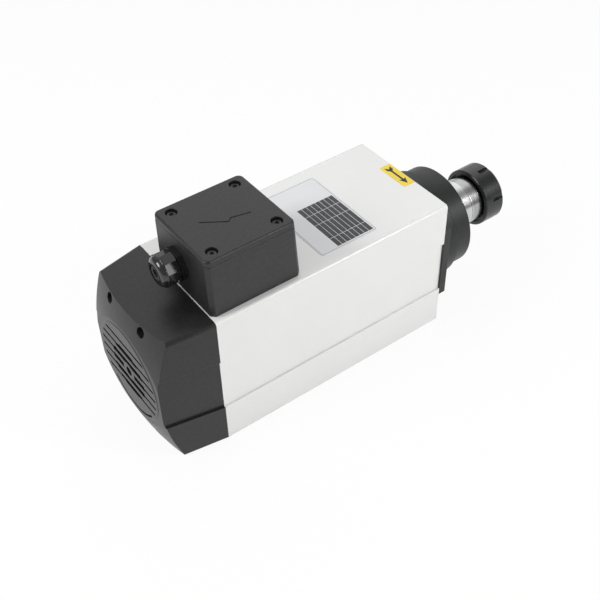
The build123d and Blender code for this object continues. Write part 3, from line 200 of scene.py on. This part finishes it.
def ground(name, low, high, rough, wide, fine, edge, painted_belts):
    """Ground steel with soft bands and faint rings round the shaft's axis, and a row of painted reflection
    and shade along it.
    """
    material, tree, bsdf = new_material(name)
    bands = noise(tree, place(tree, (wide, 0, 0)), 1.0, 3.0, 0.5)
    rings = noise(tree, place(tree, (fine, 0, 0)), 1.0, 3.0, 0.6)
    # The steel's colour is multiplied by painted reflection and shade along the shaft
    colour = painted_reflection_belts(tree, ramp(tree, bands, [(0.35, low), (0.65, high)]), *painted_belts)
    tree.links.new(colour, bsdf.inputs["Base Color"])
    tree.links.new(spread(tree, rings, rough - 0.05, rough + 0.07), bsdf.inputs["Roughness"])
    bsdf.inputs["Metallic"].default_value = 1.0
    bsdf.inputs["Anisotropic"].default_value = GROUND_ANISOTROPY
    add_bump(tree, bsdf, rings, GROUND_BUMP, GROUND_DEPTH, soft_edge(tree, edge))
    return material


# Painted light along the shaft nose: a bright painted reflection behind the groove, painted shade and a
# painted highlight as a dark and a light line at it, a darker painted reflection before the nut
NOSE_PAINTED_REFLECTIONS = (
    SHAFT_FRONT - 0.03475,
    SHAFT_FRONT - 0.00975,
    [(0.0, 0.68), (0.25, 0.86), (0.5, 0.88), (0.52, 0.4), (0.55, 1.0), (0.58, 0.66), (0.9, 0.5), (1.0, 0.7)],
)

# Coated finishes by slot: dark tone, light tone, scale of the patches, scale of the grain, roughness and
# strength of the bump, then what differs from the plain finish
COATED = {
    "white_paint": (((0.80, 0.80, 0.792), (0.83, 0.83, 0.822), 14, 3200, 0.24, 0.04), {}),
    "cover_plastic": (
        ((0.010, 0.010, 0.0105), (0.017, 0.017, 0.0175), 420, 1500, 0.34, 0.45),
        {"edge": 0.0006, "gloss": 0.42},
    ),
    "box_plastic": (
        ((0.010, 0.010, 0.011), (0.018, 0.018, 0.019), 420, 1500, 0.42, 0.5),
        {"edge": 0.0007},
    ),
    "black_nylon": (
        ((0.010, 0.010, 0.011), (0.014, 0.014, 0.015), 60, 1500, 0.13, 0.05),
        {"edge": 0.0004, "coat": 0.35, "gloss": 0.6},
    ),
    "seal_rubber": (((0.02, 0.02, 0.02), (0.03, 0.03, 0.03), 80, 1800, 0.6, 0.2), {"edge": 0.0004}),
    "copper_winding": (
        ((0.3, 0.09, 0.03), (0.5, 0.18, 0.06), 300, 900, 0.32, 0.6),
        {"metallic": 0.6, "stretch": (1, 5, 5), "coat": 0.4},
    ),
    "lead_insulation": (((0.03, 0.03, 0.032), (0.05, 0.05, 0.052), 90, 1400, 0.5, 0.1), {}),
    "lamination_steel": (
        ((0.1, 0.1, 0.105), (0.24, 0.24, 0.25), 1.0, 2.0, 0.4, 0.5),
        {"metallic": 0.9, "stretch": (1900, 8, 8)},
    ),
    "cast_aluminium": (
        ((0.5, 0.5, 0.51), (0.64, 0.64, 0.65), 90, 700, 0.42, 0.4),
        {"edge": 0.0003, "metallic": 1.0},
    ),
    "silver_foil": (((0.74, 0.745, 0.76), (0.77, 0.775, 0.79), 30, 2500, 0.4, 0.05), {"gloss": 0.25}),
    "yellow_vinyl": (((0.84, 0.62, 0.03), (0.88, 0.67, 0.04), 60, 1500, 0.35, 0.05), {}),
    "print_black": (((0.012, 0.012, 0.012), (0.02, 0.02, 0.02), 90, 2500, 0.5, 0.03), {}),
    "print_grey": (((0.03, 0.032, 0.035), (0.045, 0.047, 0.05), 120, 2500, 0.45, 0.03), {}),
}

# Turned finishes by slot: dark tone, light tone, roughness and scale of the rings, then what differs
TURNED = {
    "black_anodised": (
        ((0.018, 0.0195, 0.0195), (0.026, 0.028, 0.0275), 0.38, 500),
        {"edge": 0.0006, "metallic": 0.0, "gloss": 0.3},
    ),
    "blackened_steel": (
        ((0.011, 0.0118, 0.0125), (0.016, 0.0168, 0.0175), 0.26, 500),
        {"edge": 0.0006, "metallic": 0.0},
    ),
    "bearing_steel": (((0.6, 0.6, 0.6), (0.7, 0.7, 0.7), 0.14, 1400), {}),
    "cage_brass": (((0.55, 0.38, 0.14), (0.68, 0.5, 0.2), 0.3, 900), {}),
    "fastener_steel": (
        ((0.03, 0.03, 0.032), (0.06, 0.06, 0.062), 0.3, 900),
        {"edge": 0.0003, "metallic": 0.7},
    ),
    "terminal_brass": (((0.6, 0.42, 0.18), (0.72, 0.54, 0.24), 0.28, 900), {}),
    "machined_aluminium": (((0.58, 0.59, 0.6), (0.7, 0.7, 0.71), 0.3, 800), {"edge": 0.0003}),
}

MATERIALS = {slot: coated(slot, *plain, **differing) for slot, (plain, differing) in COATED.items()}
MATERIALS |= {slot: turned(slot, *plain, **differing) for slot, (plain, differing) in TURNED.items()}
# The shaft nose's steel gets painted reflections, painted shade and a painted highlight along it
MATERIALS["ground_steel"] = ground(
    "ground_steel", (0.62, 0.62, 0.63), (0.74, 0.74, 0.75), 0.2, 160, 1300, 0.0004, NOSE_PAINTED_REFLECTIONS
)

SLOT_OF = {entry["node"]: entry["material_slot"] for entry in frame["record"]["subparts"]}
for name, obj in frame["nodes"].items():
    material = MATERIALS[SLOT_OF[name]]
    if obj.data.materials:
        for index in range(len(obj.data.materials)):
            obj.data.materials[index] = material
    else:
        obj.data.materials.append(material)


def mesh_piece(name, builder, material, body):
    """Builds a piece in the shared frame and puts it on its body."""
    mesh = bpy.data.meshes.new(name)
    work = bmesh.new()
    builder(work)
    bmesh.ops.recalc_face_normals(work, faces=work.faces)
    work.to_mesh(mesh)
    work.free()
    mesh.materials.append(material)
    piece = bpy.data.objects.new(name, mesh)
    bpy.context.scene.collection.objects.link(piece)
    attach(piece, body)


def slab(work, outline, low, high):
    """A flat closed piece over an outline of x and y in metres."""
    bottom = [work.verts.new((x, y, low)) for x, y in outline]
    top = [work.verts.new((x, y, high)) for x, y in outline]
    work.faces.new(bottom[::-1])
    work.faces.new(top)
    count = len(outline)
    for i in range(count):
        j = (i + 1) % count
        work.faces.new((bottom[i], bottom[j], top[j], top[i]))


def rectangle(x0, x1, y0, y1):
    return [(x0, y0), (x1, y0), (x1, y1), (x0, y1)]


# Printed table and frame line on the nameplate
PRINT_LOW = LABEL_HIGH.z - 0.00001
PRINT_HIGH = LABEL_HIGH.z + 0.00002
TABLE_START = 0.0155
TABLE_MARGIN = 0.0022
TABLE_WIDTH = 0.0503
TABLE_ROWS = 8
TABLE_COLUMNS = (0.0, 0.20, 0.56, 0.79, 1.0)
CELL_GAP = 0.00036
FRAME_INSET = 0.0009
FRAME_WIDTH = 0.00022


def table_cells(work):
    """Rows of dark cells with clear lines between them."""
    x0, x1 = LABEL_LOW.x + TABLE_START, LABEL_HIGH.x - TABLE_MARGIN
    y0 = LABEL_LOW.y + TABLE_MARGIN
    row_height = (x1 - x0) / TABLE_ROWS
    half_gap = CELL_GAP / 2
    for row in range(TABLE_ROWS):
        for left, right in zip(TABLE_COLUMNS, TABLE_COLUMNS[1:]):
            cell = rectangle(
                x0 + row * row_height + half_gap,
                x0 + (row + 1) * row_height - half_gap,
                y0 + left * TABLE_WIDTH + half_gap,
                y0 + right * TABLE_WIDTH - half_gap,
            )
            slab(work, cell, PRINT_LOW, PRINT_HIGH)


def frame_line(work):
    """A thin line round the label, a little inside its edge."""
    x0, x1 = LABEL_LOW.x + FRAME_INSET, LABEL_HIGH.x - FRAME_INSET
    y0, y1 = LABEL_LOW.y + FRAME_INSET, LABEL_HIGH.y - FRAME_INSET
    inner_x0, inner_x1 = x0 + FRAME_WIDTH, x1 - FRAME_WIDTH
    inner_y0, inner_y1 = y0 + FRAME_WIDTH, y1 - FRAME_WIDTH
    slab(work, rectangle(x0, inner_x0, y0, y1), PRINT_LOW, PRINT_HIGH)
    slab(work, rectangle(inner_x1, x1, y0, y1), PRINT_LOW, PRINT_HIGH)
    slab(work, rectangle(inner_x0, inner_x1, y0, inner_y0), PRINT_LOW, PRINT_HIGH)
    slab(work, rectangle(inner_x0, inner_x1, inner_y1, y1), PRINT_LOW, PRINT_HIGH)


mesh_piece("nameplate_cells", table_cells, MATERIALS["print_grey"], "housing")
mesh_piece("nameplate_frame", frame_line, MATERIALS["print_grey"], "housing")


# Arrow on the direction sticker: a head at the near end and a notched tail at the far end
ARROW_MIDDLE = (STICKER_LOW.x + STICKER_HIGH.x) / 2
ARROW_NEAR = STICKER_LOW.y + 0.0021
ARROW_FAR = STICKER_HIGH.y - 0.0026
ARROW_NOTCH = 0.0030
ARROW_SIDE = (
    (0.0031, ARROW_NEAR + 0.0068),
    (0.0009, ARROW_NEAR + 0.0060),
    (0.0009, ARROW_FAR - 0.0062),
    (0.0028, ARROW_FAR - 0.0040),
    (0.0028, ARROW_FAR),
)


def arrow(work):
    """One side of the arrow from its tip to its tail, the notch, and the other side back."""
    one_side = [(ARROW_MIDDLE + across, along) for across, along in ARROW_SIDE]
    other_side = [(ARROW_MIDDLE - across, along) for across, along in reversed(ARROW_SIDE)]
    tip = (ARROW_MIDDLE, ARROW_NEAR)
    notch = (ARROW_MIDDLE, ARROW_FAR - ARROW_NOTCH)
    slab(work, [tip, *one_side, notch, *other_side], PRINT_LOW, PRINT_HIGH)


mesh_piece("direction_arrow", arrow, MATERIALS["print_black"], "housing")


# Floor, world, lamps and camera
FLOOR_HALF = 4
FLOOR_DEPTH = 0.02
FLOOR_COLOUR = (0.93, 0.93, 0.93, 1)
FLOOR_GLOW = 0.92
GLOSSY_SHARE = 0.85


def stage_floor():
    """A pale floor that keeps the object's shadow. What the camera sees of it is nearly white."""
    mesh = bpy.data.meshes.new("floor")
    work = bmesh.new()
    slab(work, rectangle(-FLOOR_HALF, FLOOR_HALF, -FLOOR_HALF, FLOOR_HALF), -FLOOR_DEPTH, 0.0)
    work.to_mesh(mesh)
    work.free()
    floor = bpy.data.objects.new("floor", mesh)
    bpy.context.scene.collection.objects.link(floor)
    material = bpy.data.materials.new("floor")
    material.use_nodes = True
    tree = material.node_tree
    tree.nodes.clear()
    out = tree.nodes.new("ShaderNodeOutputMaterial")
    mix = tree.nodes.new("ShaderNodeMixShader")
    diffuse = tree.nodes.new("ShaderNodeBsdfDiffuse")
    diffuse.inputs["Color"].default_value = FLOOR_COLOUR
    glow = tree.nodes.new("ShaderNodeEmission")
    glow.inputs["Color"].default_value = (1, 1, 1, 1)
    path = tree.nodes.new("ShaderNodeLightPath")
    seen = tree.nodes.new("ShaderNodeMath")
    seen.operation = "MAXIMUM"
    dimmed = tree.nodes.new("ShaderNodeMath")
    dimmed.operation = "MULTIPLY"
    dimmed.inputs[1].default_value = GLOSSY_SHARE
    share = tree.nodes.new("ShaderNodeMath")
    share.operation = "MULTIPLY"
    share.inputs[1].default_value = FLOOR_GLOW
    tree.links.new(path.outputs["Is Camera Ray"], seen.inputs[0])
    tree.links.new(path.outputs["Is Glossy Ray"], dimmed.inputs[0])
    tree.links.new(dimmed.outputs[0], seen.inputs[1])
    tree.links.new(seen.outputs[0], share.inputs[0])
    tree.links.new(share.outputs[0], mix.inputs["Fac"])
    tree.links.new(diffuse.outputs[0], mix.inputs[1])
    tree.links.new(glow.outputs[0], mix.inputs[2])
    tree.links.new(mix.outputs[0], out.inputs["Surface"])
    mesh.materials.append(material)


stage_floor()

BRIGHT_DIRECTION = Vector((0.5, 0.6, 0.62)).normalized()
BRIGHT_FROM = 0.72
BRIGHT_TO = 0.97
SKY_STRENGTH = 0.34
BRIGHT_STRENGTH = 1.3


def studio_world():
    """A soft sky, brighter toward one direction, that the camera sees as white."""
    world = bpy.data.worlds.new("studio")
    bpy.context.scene.world = world
    world.use_nodes = True
    sky = world.node_tree
    sky.nodes.clear()
    out = sky.nodes.new("ShaderNodeOutputWorld")
    coordinates = sky.nodes.new("ShaderNodeTexCoord")
    toward = sky.nodes.new("ShaderNodeVectorMath")
    toward.operation = "DOT_PRODUCT"
    toward.inputs[1].default_value = BRIGHT_DIRECTION
    strength = sky.nodes.new("ShaderNodeMapRange")
    strength.interpolation_type = "SMOOTHSTEP"
    strength.inputs["From Min"].default_value = BRIGHT_FROM
    strength.inputs["From Max"].default_value = BRIGHT_TO
    strength.inputs["To Min"].default_value = SKY_STRENGTH
    strength.inputs["To Max"].default_value = BRIGHT_STRENGTH
    ambient = sky.nodes.new("ShaderNodeBackground")
    ambient.inputs["Color"].default_value = (1, 1, 1, 1)
    plain = sky.nodes.new("ShaderNodeBackground")
    plain.inputs["Color"].default_value = (1, 1, 1, 1)
    plain.inputs["Strength"].default_value = 1.0
    path = sky.nodes.new("ShaderNodeLightPath")
    mix = sky.nodes.new("ShaderNodeMixShader")
    sky.links.new(coordinates.outputs["Generated"], toward.inputs[0])
    sky.links.new(toward.outputs["Value"], strength.inputs["Value"])
    sky.links.new(strength.outputs["Result"], ambient.inputs["Strength"])
    sky.links.new(path.outputs["Is Camera Ray"], mix.inputs["Fac"])
    sky.links.new(ambient.outputs[0], mix.inputs[1])
    sky.links.new(plain.outputs[0], mix.inputs[2])
    sky.links.new(mix.outputs[0], out.inputs["Surface"])


studio_world()


def area_lamp(name, place_at, aim, size, power):
    lamp = bpy.data.lights.new(name, "AREA")
    lamp.shape = "RECTANGLE"
    lamp.size, lamp.size_y = size
    lamp.energy = power
    obj = bpy.data.objects.new(name, lamp)
    bpy.context.scene.collection.objects.link(obj)
    direction = Vector(aim) - Vector(place_at)
    obj.matrix_world = Matrix.Translation(place_at) @ direction.to_track_quat("-Z", "Y").to_matrix().to_4x4()


# Each lamp's place, the point that it is aimed at, its size in metres and its power in watts
LAMPS = {
    "top_lamp": ((-0.5, 0.1, 1.5), (0, 0, 0.05), (0.9, 0.9), 0.3),
    "edge_lamp": ((0.75, -1.15, 1.0), (0, 0, 0.06), (0.3, 0.3), 8.0),
    "rear_lamp": ((-0.95, 0.2, 0.8), (-0.3, 0.05, 0), (0.5, 0.5), 7.0),
    "near_lamp": ((0.55, -1.1, 0.62), (0, 0, 0.06), (0.6, 0.4), 3.0),
}
for name, settings in LAMPS.items():
    area_lamp(name, *settings)

# The photograph's camera, fitted to its edges
CAMERA_LENS = 58.54
CAMERA_SENSOR = 36.0
CAMERA_CLIP = 0.01
CAMERA_PLACE = (-0.32085, -0.4568, 0.5773)
CAMERA_RIGHT = (0.8056, -0.5921, -0.0198)
CAMERA_UP = (0.4209, 0.5484, 0.7226)

camera_data = bpy.data.cameras.new("camera")
camera_data.lens = CAMERA_LENS
camera_data.sensor_width = CAMERA_SENSOR
camera_data.clip_start = CAMERA_CLIP
camera = bpy.data.objects.new("camera", camera_data)
bpy.context.scene.collection.objects.link(camera)
right = Vector(CAMERA_RIGHT).normalized()
up = Vector(CAMERA_UP)
up = (up - right * up.dot(right)).normalized()
back = right.cross(up)
camera.matrix_world = Matrix(
    (
        (right.x, up.x, back.x, CAMERA_PLACE[0]),
        (right.y, up.y, back.y, CAMERA_PLACE[1]),
        (right.z, up.z, back.z, CAMERA_PLACE[2]),
        (0, 0, 0, 1),
    )
)
bpy.context.scene.camera = camera
bpy.context.scene.view_settings.view_transform = "Standard"
